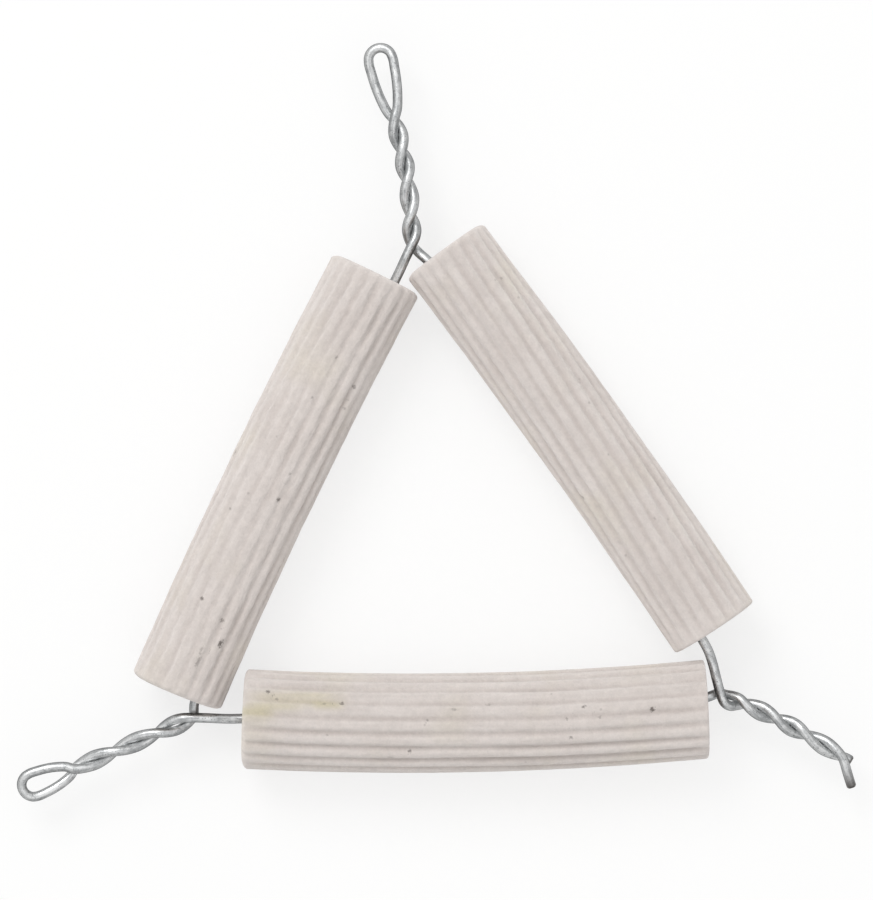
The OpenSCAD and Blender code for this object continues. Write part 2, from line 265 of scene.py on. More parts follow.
# Clay sleeves: a wall profile turned about the axis, with ribs, a bow and worn ends. Lengths are in
# millimetres. Angles are in degrees, round a sleeve from its outer side up over its top.
sleeves = {
    "left": {
        # which way its middle lies from the centre, how far, how far along, and how high
        "facing": 154.4, "away": 18.694, "slide": -1.9, "height": 5.15,
        "diameter": 10.4, "bow": 0.5, "seed": 1.3,
        # one groove's angle half way along, and how far the ribs turn from end to end
        "groove": 94.0, "twist": 12.0,
        # a higher power makes the grooves narrower. deepSide is where they are deeper, and by what share.
        "ribDepth": 0.2, "power": 1.5, "deepSide": (128, 0.85), "uneven": 0.45,
        # sway of the ribs along the sleeve, raggedness of their edges, and unevenness of the skin
        "wander": 0.018, "ragged": 0.036, "wave": 0.1,
        # at the low and the high end: how far askew the cut is, and how far the worn edge reaches
        # along the sleeve and across it
        "cut": (0.45, 0.05), "edges": ((0.6, 1.1), (0.6, 1.1)),
        # pits: place along the sleeve in mm, angle round it, radius in mm, how dark, how stretched
        "pits": [(-1.3, 109, 0.3, 0.85, 1), (-14.3, 74, 0.27, 0.8, 1), (-15.5, 108, 0.26, 0.6, 1),
                 (-17.8, 119, 0.36, 1.0, 1.5), (15, 95, 0.24, 0.5, 1), (13, 135, 0.26, 0.6, 1),
                 (10, 91, 0.18, 0.4, 1), (10.5, 136, 0.18, 0.35, 1), (4.7, 73, 0.16, 0.25, 1),
                 (1.7, 107, 0.22, 0.4, 1), (-4.4, 57, 0.2, 0.4, 1), (-20.5, 101, 0.3, 0.45, 2.6),
                 (-19.2, 99, 0.22, 0.35, 1.8), (1.2, 15, 0.3, 0.5, 1.5)],
    },
    "right": {
        "facing": 35.6, "away": 18.594, "slide": -0.4, "height": 5.078,
        "diameter": 10.2, "bow": 0.4, "seed": 4.1,
        "groove": 106.3, "twist": 38.0,
        "ribDepth": 0.3, "power": 1.2, "deepSide": (80, 0.35), "uneven": 0.2,
        "wander": 0.014, "ragged": 0.018, "wave": 0.075,
        "cut": (0.05, 0.35), "edges": ((0.6, 1.1), (0.3, 0.45)),
        "pits": [(5.2, 141, 0.3, 0.5, 1), (-18.8, 52, 0.18, 0.35, 1.4), (11.4, 76, 0.16, 0.25, 1.5)],
    },
    "bottom": {
        "facing": -88.8, "away": 18.344, "slide": -3.2, "height": 5.384,
        "diameter": 10.8, "bow": 0.9, "seed": 7.7,
        "groove": 96.5, "twist": 6.0,
        "ribDepth": 0.3, "power": 1.6, "deepSide": (68, 0.45), "uneven": 0.25,
        "wander": 0.012, "ragged": 0.008, "wave": 0.04,
        "cut": (0.25, 0.5), "edges": ((0.35, 0.5), (0.6, 1.1)),
        "pits": [(21.9, 128, 0.3, 0.85, 1), (21, 119, 0.2, 0.45, 1.3), (14.1, 116, 0.27, 0.7, 1),
                 (16, 115, 0.2, 0.35, 1.6), (7, 57, 0.26, 0.75, 1), (9, 49, 0.22, 0.4, 1.8),
                 (5, 96, 0.2, 0.5, 1), (5.3, 91, 0.14, 0.3, 1), (2.1, 108, 0.2, 0.35, 2),
                 (-1.5, 114, 0.2, 0.35, 1.5), (-18.9, 98, 0.32, 0.95, 1), (-11.6, 106, 0.25, 0.7, 1.2),
                 (-9.8, 93, 0.2, 0.5, 1), (-13.3, 93, 0.2, 0.5, 1), (-10.2, 71, 0.2, 0.55, 1.3),
                 (-8.2, 124, 0.18, 0.3, 1), (15.7, 77, 0.18, 0.35, 1)],
        # stain, in drops: place along the sleeve and angle, reach along it and round it, strength
        "stain": [(19.4, 121, 4.4, 8, 0.9), (23.6, 100, 2.2, 9, 0.5), (15.6, 114, 1.6, 6, 0.5),
                  (21.5, 110, 3.0, 7, 0.35)],
    },
}
# what the three sleeves share
sleeveForm = {
    "length": 50.0, "bore": 6.2, "flare": 0.3, "ribs": 20, "rings": 320, "rowMm": 0.21, "boreRows": 16,
    "skin": 0.05,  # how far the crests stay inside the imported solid
    "mergeMm": 0.001,  # points closer than this are the sheet's seam, and become one
    # towards an end the ribs are worn down over wornMm, to wornShare of their depth
    "wornMm": 2.5, "wornShare": 0.6, "wornPower": 0.7, "edgeSteps": 6,
    # how fine the noises are, the range of each that counts, how far a seed moves them, how much they
    # are drawn out along the sleeve, and how much deeper a groove gets than it gets shallower
    "swaysPerMm": 0.09, "depthsPerMm": 0.45, "wavesPerMm": 0.9, "nicksPerMm": 2.0,
    "swayRange": (0.25, 0.75), "depthRange": (0.3, 0.7), "waveRange": (0.2, 0.8),
    "seedMm": 11.0, "drawnOut": 0.25, "deeper": 0.5,
    # pits: share of the tones above, depth as a share of the radius, least distance from the bore
    "pitShare": 0.85, "pitDepth": 0.5, "pitWall": 0.9,
}


def sleeveEnd(radius, edge):
    # from the worn edge to the mouth of the bore
    half, bore, flare = sleeveForm["length"] / 2, sleeveForm["bore"] / 2, sleeveForm["flare"]
    along, across = edge
    share, steps = sleeveForm["wornShare"], sleeveForm["edgeSteps"]
    turns = [math.radians(90 * k / steps) for k in range(1, steps + 1)]
    rows = [(half - along * (1 - math.sin(a)), radius - across * (1 - math.cos(a)), share * math.cos(a))
            for a in turns]
    bend = 0.4 * flare  # the mouth is a little rounded, not a plain chamfer
    return rows + [(half, bore + flare, 0.0), (half - bend, bore + bend, 0.0), (half - flare, bore, 0.0)]


def sleeveProfile(spec):
    # closed outline of the wall: along the sleeve, distance from the axis, share of the ribs
    form = sleeveForm
    radius, half = spec["diameter"] / 2 - form["skin"], form["length"] / 2
    low, high = -half + spec["edges"][0][0], half - spec["edges"][1][0]
    count = round((high - low) / form["rowMm"])
    rows = []
    for k in range(count + 1):
        x = low + (high - low) * k / count
        worn = min(1.0, (x - low) / form["wornMm"], (high - x) / form["wornMm"])
        depth = form["wornShare"] + (1 - form["wornShare"]) * worn ** form["wornPower"]
        rows.append((x, radius, depth))
    reach, steps = half - form["flare"], form["boreRows"]
    inside = [(reach - 2 * k * reach / steps, form["bore"] / 2, 0.0) for k in range(1, steps)]
    lowEnd = [(-x, r, s) for x, r, s in reversed(sleeveEnd(radius, spec["edges"][0]))]
    return rows + sleeveEnd(radius, spec["edges"][1]) + inside + lowEnd


def buildSleeveTree():
    form = sleeveForm
    swayLow, swayHigh = form["swayRange"]
    sizes = ("Ribs", "Rib Depth", "Groove Power", "Groove Angle", "Twist", "Wander", "Wave", "Length",
             "Bow", "Radius", "Cut Low", "Cut High", "Deep Side", "Lean", "Ragged", "Uneven", "Seed")
    tree, given = newTree("ribbedSleeve", [("Rings", "Int"), ("Rows", "Int")]
                          + [(label, "Float") for label in sizes])
    # a sheet of points, one column for each ring, is rolled up: each point takes its row's place in
    # the profile, and its column gives the angle
    ringCount = addNode(tree, "ShaderNodeMath", [given["Rings"], 1.0], operation="ADD")
    rowCount = addNode(tree, "ShaderNodeMath", [given["Rows"], 1.0], operation="ADD")
    grid = addNode(tree, "GeometryNodeMeshGrid", {"Vertices X": ringCount, "Vertices Y": rowCount})
    index = addNode(tree, "GeometryNodeInputIndex")
    perRing = addNode(tree, "ShaderNodeMath", [index, rowCount], operation="DIVIDE")
    ring = addNode(tree, "ShaderNodeMath", [perRing], operation="FLOOR")
    rowRaw = addNode(tree, "ShaderNodeMath", [index, rowCount], operation="MODULO")
    row = addNode(tree, "ShaderNodeMath", [rowRaw, given["Rows"]], operation="MODULO")
    rowPlace = addNode(tree, "GeometryNodeInputPosition")
    profile = addNode(tree, "GeometryNodeSampleIndex",
                      {"Geometry": given["Geometry"], "Value": rowPlace, "Index": row},
                      data_type="FLOAT_VECTOR")
    part = addNode(tree, "ShaderNodeSeparateXYZ", [profile]).outputs
    turn = addNode(tree, "ShaderNodeMath", [ring, given["Rings"]], operation="DIVIDE")
    angle = addNode(tree, "ShaderNodeMath", [turn, 2 * math.pi], operation="MULTIPLY")
    cosine = addNode(tree, "ShaderNodeMath", [angle], operation="COSINE")
    sine = addNode(tree, "ShaderNodeMath", [angle], operation="SINE")
    share = addNode(tree, "ShaderNodeMath", [part[0], given["Length"]], operation="DIVIDE")

    # slow noise along the sleeve, and others over its skin
    seedAlong = addNode(tree, "ShaderNodeMath", [given["Seed"], form["seedMm"]], operation="MULTIPLY")
    alongPlace = addNode(tree, "ShaderNodeCombineXYZ", [part[0], seedAlong])
    wanderNoise = addNode(tree, "ShaderNodeTexNoise", {"Vector": alongPlace, "Scale": form["swaysPerMm"],
                                                       "Detail": 1.0})
    sway = addNode(tree, "ShaderNodeMapRange", [wanderNoise, swayLow, swayHigh, -1.0])
    swayAngle = addNode(tree, "ShaderNodeMath", [sway, given["Wander"]], operation="MULTIPLY")
    roundY = addNode(tree, "ShaderNodeMath", [cosine, given["Radius"]], operation="MULTIPLY")
    roundZ = addNode(tree, "ShaderNodeMath", [sine, given["Radius"], seedAlong],
                     operation="MULTIPLY_ADD")
    slowX = addNode(tree, "ShaderNodeMath", [part[0], form["drawnOut"]], operation="MULTIPLY")
    skinPlace = addNode(tree, "ShaderNodeCombineXYZ", [slowX, roundY, roundZ])
    depthNoise = addNode(tree, "ShaderNodeTexNoise", {"Vector": skinPlace, "Scale": form["depthsPerMm"]})
    shallow = addNode(tree, "ShaderNodeMath", [given["Uneven"], -1.0, 1.0], operation="MULTIPLY_ADD")
    deep = addNode(tree, "ShaderNodeMath", [given["Uneven"], form["deeper"], 1.0],
                   operation="MULTIPLY_ADD")
    depthShare = addNode(tree, "ShaderNodeMapRange", [depthNoise, *form["depthRange"], shallow, deep])
    waveNoise = addNode(tree, "ShaderNodeTexNoise", {"Vector": skinPlace, "Scale": form["wavesPerMm"],
                                                     "Detail": 4.0, "Roughness": 0.6})
    waveShare = addNode(tree, "ShaderNodeMapRange", [waveNoise, *form["waveRange"], -1.0, 0.0])

    # ribs: broad round crests between narrower grooves, turning slowly along the sleeve
    lead = addNode(tree, "ShaderNodeMath", [share, given["Twist"], given["Groove Angle"]],
                   operation="MULTIPLY_ADD")
    raggedNoise = addNode(tree, "ShaderNodeTexNoise", {"Vector": skinPlace, "Scale": form["nicksPerMm"],
                                                       "Detail": 3.0})
    raggedShare = addNode(tree, "ShaderNodeMapRange", [raggedNoise, swayLow, swayHigh, -1.0])
    raggedAngle = addNode(tree, "ShaderNodeMath", [raggedShare, given["Ragged"], swayAngle],
                          operation="MULTIPLY_ADD")
    leadSwayed = addNode(tree, "ShaderNodeMath", [lead, raggedAngle], operation="ADD")
    fromGroove = addNode(tree, "ShaderNodeMath", [angle, leadSwayed], operation="SUBTRACT")
    ribTurn = addNode(tree, "ShaderNodeMath", [fromGroove, given["Ribs"]], operation="MULTIPLY")
    ribCosine = addNode(tree, "ShaderNodeMath", [ribTurn], operation="COSINE")
    hollowRaw = addNode(tree, "ShaderNodeMath", [ribCosine, 0.5, 0.5], operation="MULTIPLY_ADD")
    hollow = addNode(tree, "ShaderNodeMath", [hollowRaw, given["Groove Power"]], operation="POWER")
    # the grooves are deeper on two opposite flanks of each sleeve, and worn shallow between them
    fromDeep = addNode(tree, "ShaderNodeMath", [angle, given["Deep Side"]], operation="SUBTRACT")
    twice = addNode(tree, "ShaderNodeMath", [fromDeep, 2.0], operation="MULTIPLY")
    deepCosine = addNode(tree, "ShaderNodeMath", [twice], operation="COSINE")
    nearDeep = addNode(tree, "ShaderNodeMath", [deepCosine, 0.5, 0.5], operation="MULTIPLY_ADD")
    deepShare = addNode(tree, "ShaderNodeMath", [nearDeep, given["Lean"], 1.0],
                        operation="MULTIPLY_ADD")
    sideDepth = addNode(tree, "ShaderNodeMath", [deepShare, depthShare], operation="MULTIPLY")
    hollowDepth = addNode(tree, "ShaderNodeMath", [hollow, sideDepth], operation="MULTIPLY")
    groove = addNode(tree, "ShaderNodeMath", [hollowDepth, part[2]], operation="MULTIPLY")
    sunk = addNode(tree, "ShaderNodeMath", [groove, given["Rib Depth"]], operation="MULTIPLY")
    waved = addNode(tree, "ShaderNodeMath", [waveShare, given["Wave"]], operation="MULTIPLY")
    wavedSkin = addNode(tree, "ShaderNodeMath", [waved, part[2]], operation="MULTIPLY")
    ribbed = addNode(tree, "ShaderNodeMath", [part[1], sunk], operation="SUBTRACT")
    radius = addNode(tree, "ShaderNodeMath", [ribbed, wavedSkin], operation="ADD")

    # bow: greatest in the middle, none at the ends
    shareSquare = addNode(tree, "ShaderNodeMath", [share, share], operation="MULTIPLY")
    bowShare = addNode(tree, "ShaderNodeMath", [shareSquare, -4.0, 1.0], operation="MULTIPLY_ADD")
    bow = addNode(tree, "ShaderNodeMath", [bowShare, given["Bow"]], operation="MULTIPLY")
    y = addNode(tree, "ShaderNodeMath", [cosine, radius, bow], operation="MULTIPLY_ADD")
    z = addNode(tree, "ShaderNodeMath", [sine, radius], operation="MULTIPLY")
    # ends cut a little askew: the inner side is the shorter one. An end's share is a half, so the cut
    # is doubled.
    innerShare = addNode(tree, "ShaderNodeMapRange", [cosine, -1.0, 1.0, 1.0, 0.0])
    highShare = addNode(tree, "ShaderNodeMath", [share, 0.0], operation="MAXIMUM")
    lowShare = addNode(tree, "ShaderNodeMath", [share, 0.0], operation="MINIMUM")
    highCut = addNode(tree, "ShaderNodeMath", [highShare, given["Cut High"]], operation="MULTIPLY")
    lowCut = addNode(tree, "ShaderNodeMath", [lowShare, given["Cut Low"]], operation="MULTIPLY")
    bothCuts = addNode(tree, "ShaderNodeMath", [highCut, lowCut], operation="ADD")
    cutHere = addNode(tree, "ShaderNodeMath", [bothCuts, innerShare], operation="MULTIPLY")
    cutFull = addNode(tree, "ShaderNodeMath", [cutHere, 2.0], operation="MULTIPLY")
    x = addNode(tree, "ShaderNodeMath", [part[0], cutFull], operation="SUBTRACT")
    straightY = addNode(tree, "ShaderNodeMath", [cosine, radius], operation="MULTIPLY")
    place = addNode(tree, "ShaderNodeCombineXYZ", [part[0], straightY, z])
    seedShift = addNode(tree, "ShaderNodeVectorMath", [place, seedAlong], operation="ADD")
    position = addNode(tree, "ShaderNodeCombineXYZ", [x, y, z])

    # what the clay and the pits need to know of each point
    kept = grid
    for label, value, kind in (("clayPlace", seedShift, "FLOAT_VECTOR"), ("groove", sunk, "FLOAT"),
                               ("around", angle, "FLOAT")):
        kept = addNode(tree, "GeometryNodeStoreNamedAttribute",
                       {"Geometry": kept, "Name": label, "Value": value}, data_type=kind)
    moved = addNode(tree, "GeometryNodeSetPosition", {"Geometry": kept, "Position": position})
    merged = addNode(tree, "GeometryNodeMergeByDistance", {"Geometry": moved,
                                                           "Distance": form["mergeMm"]})
    smooth = addNode(tree, "GeometryNodeSetShadeSmooth", {"Geometry": merged})
    real = addNode(tree, "GeometryNodeRealizeInstances", {"Geometry": smooth})
    finish = addNode(tree, "GeometryNodeSetMaterial", {"Geometry": real, "Material": clay})
    addNode(tree, "NodeGroupOutput", [finish])
    return tree


def turnFrom(around, degrees):
    # shortest way round from an angle, in radians
    return (around - math.radians(degrees) + math.pi) % (2 * math.pi) - math.pi


def markPits(mesh, spec):
    # pits and the stain, in the sleeve's own millimetres, before it is put in its place
    farOff = 9.0  # well outside a pit, whose rim is at one
    count = len(mesh.vertices)
    points = np.empty(count * 3)
    mesh.vertices.foreach_get("co", points)
    points = points.reshape(-1, 3)
    around = np.empty(count)
    mesh.attributes["around"].data.foreach_get("value", around)
    along = points[:, 0].copy()
    away = np.hypot(points[:, 1], points[:, 2])
    outer = away > sleeveForm["bore"] / 2 + sleeveForm["pitWall"]
    offOuter = np.where(outer, 0.0, farOff)
    pitPlace, pitTone = np.full((count, 3), farOff), np.zeros(count)
    radius = spec["diameter"] / 2
    for x, degrees, size, tone, stretch in spec["pits"]:
        tone *= sleeveForm["pitShare"]
        acrossPit = turnFrom(around, degrees) * radius / size
        offset = np.stack([(along - x) / size / stretch, acrossPit, offOuter], axis=1)
        distance = np.linalg.norm(offset, axis=1)
        dent = np.clip(1 - distance ** 2, 0, 1) * size * sleeveForm["pitDepth"] * tone
        points[:, 1] -= np.cos(around) * dent
        points[:, 2] -= np.sin(around) * dent
        nearer = distance < np.linalg.norm(pitPlace, axis=1)
        pitPlace[nearer] = offset[nearer]
        pitTone[nearer] = tone
    stain = np.zeros(count)
    for x, degrees, reach, width, strength in spec.get("stain", []):
        turned = np.degrees(turnFrom(around, degrees))
        stain += strength * np.exp(-((along - x) / reach) ** 4 - (turned / width) ** 2) * outer
    mesh.vertices.foreach_set("co", points.ravel())
    mesh.attributes.new("pitPlace", "FLOAT_VECTOR", "POINT").data.foreach_set("vector", pitPlace.ravel())
    mesh.attributes.new("pitTone", "FLOAT", "POINT").data.foreach_set("value", pitTone)
    mesh.attributes.new("stain", "FLOAT", "POINT").data.foreach_set("value", stain)


sleeveTree = buildSleeveTree()
for side, spec in sleeves.items():
    rows = sleeveProfile(spec)
    outline = bpy.data.meshes.new(side + "Outline")
    outline.from_pydata(rows, [], [])
    name = side + "ClaySleeve"
    piece = runTree(name, outline, sleeveTree, {
        "Rings": sleeveForm["rings"], "Rows": len(rows), "Ribs": float(sleeveForm["ribs"]),
        "Rib Depth": spec["ribDepth"], "Groove Power": spec["power"],
        "Groove Angle": math.radians(spec["groove"]), "Twist": math.radians(spec["twist"]),
        "Wander": spec["wander"], "Wave": spec["wave"], "Length": sleeveForm["length"],
        "Bow": spec["bow"], "Radius": spec["diameter"] / 2,
        "Deep Side": math.radians(spec["deepSide"][0]), "Lean": spec["deepSide"][1],
        "Ragged": spec["ragged"], "Uneven": spec["uneven"],
        "Cut Low": spec["cut"][0], "Cut High": spec["cut"][1], "Seed": spec["seed"]})
    markPits(piece.data, spec)
    facesOut(piece.data)
    facing, run = math.radians(spec["facing"]), math.radians(spec["facing"] - 90)
    centre = Vector((spec["away"] * math.cos(facing) + spec["slide"] * math.cos(run),
                     spec["away"] * math.sin(facing) + spec["slide"] * math.sin(run), spec["height"]))
    spec["centre"] = centre
    piece.data.transform(Matrix.Scale(mm, 4) @ Matrix.Translation(centre) @ Matrix.Rotation(run, 4, "Z"))
    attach(piece, side + "_sleeve")
    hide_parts(side + "_sleeve")
    print("sleeve", side, len(piece.data.vertices), "points")
bpy.data.node_groups.remove(sleeveTree)

# The wire: one length, twisted into three stems. Lengths are in millimetres.
wireForm = {
    "diameter": 1.1, "skin": 0.025,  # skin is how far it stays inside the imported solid
    # the gap between two twisted strands, the least room between wire and bore, the stems' height
    "strandGap": 0.01, "room": 0.12, "level": 4.628,
    # an eye's width and how early it swells, and how the lead from a sleeve bends into its stem
    "eyeWidth": 2.6, "fullness": 0.7, "bendStep": 1.6, "bendReach": 0.36,
    "keysPerHalfTurn": 4, "spacing": 0.2, "sides": 20,
    # how far the nippers squeezed an end and to what width, and how far the short and long end are bare
    "burrMm": 0.2, "squeezed": 0.72, "bareMm": (0.35, 2.3),
    # how far up the skin faces where the painted flank shade starts and is full, where it thins out
    # again beneath, and how squarely the skin faces another strand where the painted shade is left off
    "flankShadeRange": (0.78, 0.4), "bellyShadeRange": (0.2, -0.4), "bellyShadeLeast": 0.3, "creviceRange": (0.1, 0.6),
    # two strands lie against each other within touchMm, if there is over apartMm of wire between them
    "touchMm": 1.35, "touchFade": 0.2, "apartMm": 3.0,
    # at a run's two ends: how much of the room towards the triangle's inside the wire takes, and how
    # far it dips
    "hug": {"left": (1, 0.88), "right": (0.76, 0.88), "bottom": (0, 0.56)},
    "dip": {"left": (0.35, 0), "right": (0, 0.1), "bottom": (0, 0.25)},
    "boreKeys": (0, 0.03, 0.1, 0.25, 0.5, 0.75, 0.9, 0.97, 1),
    # the cut ends from their last crossing on: along the stem, to its left and up
    "shortEnd": ((0.5, 0.15, 0), (1.2, 0.2, 0.1)),
    "longEnd": ((0.6, -0.4, -0.1), (1.25, -0.95, -0.3), (2.05, -1.6, -0.5), (2.75, -2.15, -0.6)),
}
# start is the first crossing's place, from the corner between two sleeves' axes. The heading is the
# way out, and bend is how far it turns on that way. halfTurns are the lengths between crossings,
# firstLobe is how much wider each strand swings before the second crossing, and eye is the eye's length.
stems = {
    "top": {"between": ("left", "right"), "start": (0.15, -4.5), "heading": 90, "bend": 16,
            "halfTurns": (3.2, 3.8, 3.2, 3.4), "firstLobe": (0, 0), "eye": 7.9, "eyeTurn": -3},
    "left": {"between": ("left", "bottom"), "start": (3.2, 0.3), "heading": 203.5, "bend": 0,
             "halfTurns": (4.1, 5, 4.7), "firstLobe": (0.1, 0.35), "eye": 6, "eyeTurn": -2},
    "right": {"between": ("right", "bottom"), "start": (-5.5, 1.5), "heading": -21.5, "bend": -12,
              "halfTurns": (2.9, 3.8, 3.6, 4.4), "firstLobe": (1.25, -0.9)},
}
strandRadius = wireForm["diameter"] / 2 - wireForm["skin"] + wireForm["strandGap"] / 2


def heading(degrees):
    return np.array([math.cos(math.radians(degrees)), math.sin(math.radians(degrees))])


def leftOf(degrees):
    return heading(degrees + 90)


def corner(first, second):
    a, b = heading(sleeves[first]["facing"]), heading(sleeves[second]["facing"])
    reach = np.array([sleeves[first]["away"], sleeves[second]["away"]])
    return np.linalg.solve(np.array([a, b]), reach)


def inBore(side, t):
    spec = sleeves[side]
    low, high = wireForm["dip"][side]
    z = wireForm["level"] - (low + (high - low) * t)
    free = sleeveForm["bore"] / 2 - wireForm["diameter"] / 2 - wireForm["room"]
    room = math.sqrt(free ** 2 - (spec["height"] - z) ** 2)
    low, high = wireForm["hug"][side]
    aside = (low + (high - low) * t) * (room - spec["bow"] * 4 * t * (1 - t))
    run = heading(spec["facing"] + (-90 if side == "left" else 90))
    middle = np.array(spec["centre"])[:2]
    p = middle + (t - 0.5) * sleeveForm["length"] * run - aside * heading(spec["facing"])
    return np.array([p[0], p[1], z])


def stemAt(stem, k):
    turns = stem["halfTurns"]
    whole = min(int(k), len(turns) - 1)
    return sum(turns[:whole]) + (k - whole) * turns[whole]


def stemHeading(stem, k):
    return stem["heading"] + stem["bend"] * stemAt(stem, k) / sum(stem["halfTurns"])


def stemAxis(stem, k):
    chord = stemAt(stem, k)
    turn = (stemHeading(stem, k) - stem["heading"]) / 2
    if abs(turn) >= 0.01:
        chord *= math.sin(math.radians(turn)) / math.radians(turn)
    return corner(*stem["between"]) + np.array(stem["start"]) + chord * heading(stem["heading"] + turn)


def strand(stem, k, which):
    wide = 1 + stem["firstLobe"][0 if which > 0 else 1] * max(0, 1 - k)
    aside = which * strandRadius * math.sin(math.pi * k) * wide
    p = stemAxis(stem, k) - aside * leftOf(stemHeading(stem, k))
    return np.array([p[0], p[1], wireForm["level"] + which * strandRadius * math.cos(math.pi * k)])


def twist(stem, which):
    keys = wireForm["keysPerHalfTurn"]
    return [strand(stem, j / keys, which) for j in range(len(stem["halfTurns"]) * keys + 1)]


def eyeSide(length, share):
    half = wireForm["eyeWidth"] / 2
    return share * (length - half), half * math.sin(math.pi / 2 * share ** wireForm["fullness"])


def eye(stem, which):
    length, half, end = stem["eye"], wireForm["eyeWidth"] / 2, len(stem["halfTurns"])
    shares = (0.15, 0.35, 0.6, 0.82)
    outline = [eyeSide(length, s) for s in shares]
    outline += [(length - half + half * math.cos(math.radians(a)), half * math.sin(math.radians(a)))
                for a in range(90, -91, -30)]
    outline += [(x, -y) for x, y in (eyeSide(length, s) for s in reversed(shares))]
    tip = stemHeading(stem, end) + stem["eyeTurn"]
    side = which * math.cos(math.pi * end)
    points = []
    for j, (along, aside) in enumerate(outline):
        p = stemAxis(stem, end) + along * heading(tip) - side * aside * leftOf(tip)
        share = (j + 1) / (len(outline) + 1)
        z = wireForm["level"] + side * strandRadius * math.cos(math.pi * share)
        points.append(np.array([p[0], p[1], z]))
    return points


def toStem(side, t, stem, which):
    # leaves the bore and joins the stem each in its own direction, seen a small step away
    step = 0.1
    p, q = inBore(side, t), strand(stem, 0, which)
    pDirection = p - inBore(side, t + (0.5 - t) * step)
    qDirection = strand(stem, step, which) - q
    gap = np.linalg.norm(q - p)
    reach = wireForm["bendReach"] * gap
    a = p + reach * pDirection / np.linalg.norm(pDirection)
    b = q - reach * qDirection / np.linalg.norm(qDirection)
    parts = 1 + int(gap / wireForm["bendStep"])
    points = []
    for j in range(1, parts):
        u = j / parts
        points.append((1 - u) ** 3 * p + 3 * (1 - u) ** 2 * u * a + 3 * (1 - u) * u * u * b + u ** 3 * q)
    return points


def through(side):
    return [inBore(side, t) for t in wireForm["boreKeys"]]


def cutEnd(which, path):
    stem = stems["right"]
    end = strand(stem, len(stem["halfTurns"]), which)
    angle = stemHeading(stem, len(stem["halfTurns"]))
    return [end + np.append(x * heading(angle) + y * leftOf(angle), z) for x, y, z in path]


def wireRoute():
    # from the short cut end, through each sleeve and round both eyes, to the long one
    top, left, right = stems["top"], stems["left"], stems["right"]
    return (cutEnd(-1, wireForm["shortEnd"])[::-1] + twist(right, -1)[::-1]
            + toStem("bottom", 1, right, -1)[::-1] + through("bottom")[::-1]
            + toStem("bottom", 0, left, 1) + twist(left, 1) + eye(left, 1) + twist(left, -1)[::-1]
            + toStem("left", 0, left, -1)[::-1] + through("left")
            + toStem("left", 1, top, 1) + twist(top, 1) + eye(top, 1) + twist(top, -1)[::-1]
            + toStem("right", 1, top, -1)[::-1] + through("right")[::-1]
            + toStem("right", 0, right, 1) + twist(right, 1) + cutEnd(1, wireForm["longEnd"]))


def smoothRoute(keys):
    # a smooth curve through the keys, with a ring about every spacing
    slopes = []
    for j, key in enumerate(keys):
        a = key - keys[max(0, j - 1)]
        b = keys[min(len(keys) - 1, j + 1)] - key
        m, n = np.linalg.norm(a), np.linalg.norm(b)
        if m == 0:
            slopes.append(b / n)
        elif n == 0:
            slopes.append(a / m)
        else:
            slopes.append((a * n / m + b * m / n) / (m + n))
    points = []
    for j in range(len(keys) - 1):
        reach = np.linalg.norm(keys[j + 1] - keys[j])
        rings = max(1, math.ceil(reach / wireForm["spacing"]))
        for n in range(rings):
            t = n / rings
            u = 1 - t
            points.append(u * u * ((1 + 2 * t) * keys[j] + t * reach * slopes[j])
                          + t * t * ((3 - 2 * t) * keys[j + 1] - u * reach * slopes[j + 1]))
    return points + [keys[-1]]


